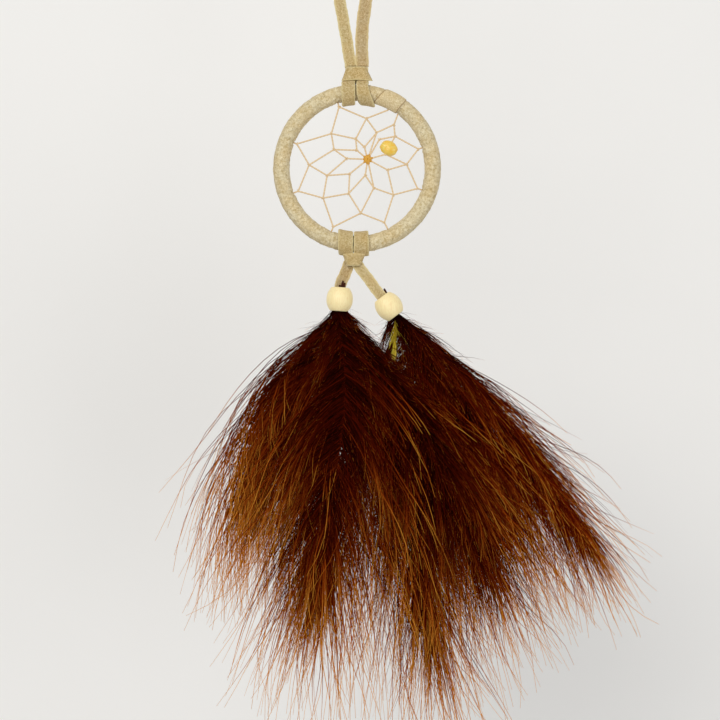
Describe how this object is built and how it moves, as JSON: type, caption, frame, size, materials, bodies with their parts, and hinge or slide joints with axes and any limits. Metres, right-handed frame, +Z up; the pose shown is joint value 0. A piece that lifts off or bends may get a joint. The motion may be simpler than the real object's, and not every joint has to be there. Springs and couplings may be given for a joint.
{
  "type": "dream catcher",
  "caption": "Small dream catcher: a suede-wrapped hoop with a netted thread web and a yellow stone chip, a suede hanging loop, and laces with wooden beads and brown feathers.",
  "frame": {"origin": "the point of the hanging loop that rests on its hook, just under the knot", "axes": "+Z up along the loop, +X to the right seen from the front, -Y towards the viewer, so the hoop lies in the XZ plane"},
  "size_m": [0.1745, 0.0117, 0.377],
  "materials": {
    "suede_tan": "soft suede lace with a short nap and paler cut edges",
    "suede_cream": "pale suede wrap with a short nap",
    "cane": "bare cane, hidden by the wrap",
    "waxed_thread": "waxed twisted thread",
    "thread_knot": "waxed thread knot, amber where the wax gathers",
    "yellow_stone": "tumbled translucent yellow stone",
    "bead_wood": "smooth pale wood, sealed",
    "glue": "set clear glue",
    "quill": "dark horny quill",
    "feather_brown": "soft brown down and long hackle barbs, golden at the tips",
    "hackle_yellow": "small yellow hackle"
  },
  "bodies": {
    "hanging_loop": {"hanging_strap_left": "suede_tan", "hanging_strap_right": "suede_tan", "hanging_knot": "suede_tan", "lace_end_left": "suede_tan", "lace_end_right": "suede_tan"},
    "top_hitch": {"top_hitch": "suede_tan"},
    "hoop": {"hoop_core": "cane", "hoop_wrap": "suede_cream", "wrap_end_turn": "suede_cream", "web_thread": "waxed_thread", "web_centre_knot": "thread_knot"},
    "stone_chip": {"stone_chip": "yellow_stone"},
    "bottom_hitch": {"bottom_hitch": "suede_tan"},
    "left_tail": {"left_tail_lace": "suede_tan", "left_bead": "bead_wood", "left_glue_plug": "glue", "left_feather_outer_quill": "quill", "left_feather_outer_vane": "feather_brown", "left_feather_front_quill": "quill", "left_feather_front_vane": "feather_brown", "left_feather_back_quill": "quill", "left_feather_back_vane": "feather_brown", "left_feather_inner_quill": "quill", "left_feather_inner_vane": "feather_brown"},
    "right_tail": {"right_tail_lace": "suede_tan", "right_bead": "bead_wood", "right_glue_plug": "glue", "right_feather_hackle_quill": "quill", "right_feather_hackle_vane": "hackle_yellow", "right_feather_inner_quill": "quill", "right_feather_inner_vane": "feather_brown", "right_feather_outer_quill": "quill", "right_feather_outer_vane": "feather_brown"}
  },
  "joints": [
    {"name": "hoop_turn", "type": "hinge", "parent": "hanging_loop", "child": "top_hitch", "pos_m": [-0.0002, 0, -0.11], "axis": [0, 0, 1], "range_deg": [-170, 170]},
    {"name": "hoop_tilt", "type": "hinge", "parent": "top_hitch", "child": "hoop", "pos_m": [0, 0, -0.11975], "axis": [1, 0, 0], "range_deg": [-30, 30]},
    {"name": "chip_spin", "type": "hinge", "parent": "hoop", "child": "stone_chip", "pos_m": [0.01241, 0, -0.13987], "axis": [0.4576, 0, 0.8891], "continuous": true},
    {"name": "tails_tilt", "type": "hinge", "parent": "hoop", "child": "bottom_hitch", "pos_m": [-0.00169, 0, -0.1768], "axis": [0.9982, 0, -0.0593], "range_deg": [-30, 30]},
    {"name": "left_tail_swing", "type": "hinge", "parent": "bottom_hitch", "child": "left_tail", "pos_m": [-0.0031, 0, -0.1844], "axis": [0, 1, 0], "range_deg": [-5, 50]},
    {"name": "right_tail_swing", "type": "hinge", "parent": "bottom_hitch", "child": "right_tail", "pos_m": [0.00015, 0, -0.1846], "axis": [0, 1, 0], "range_deg": [-45, 8]}
  ]
}
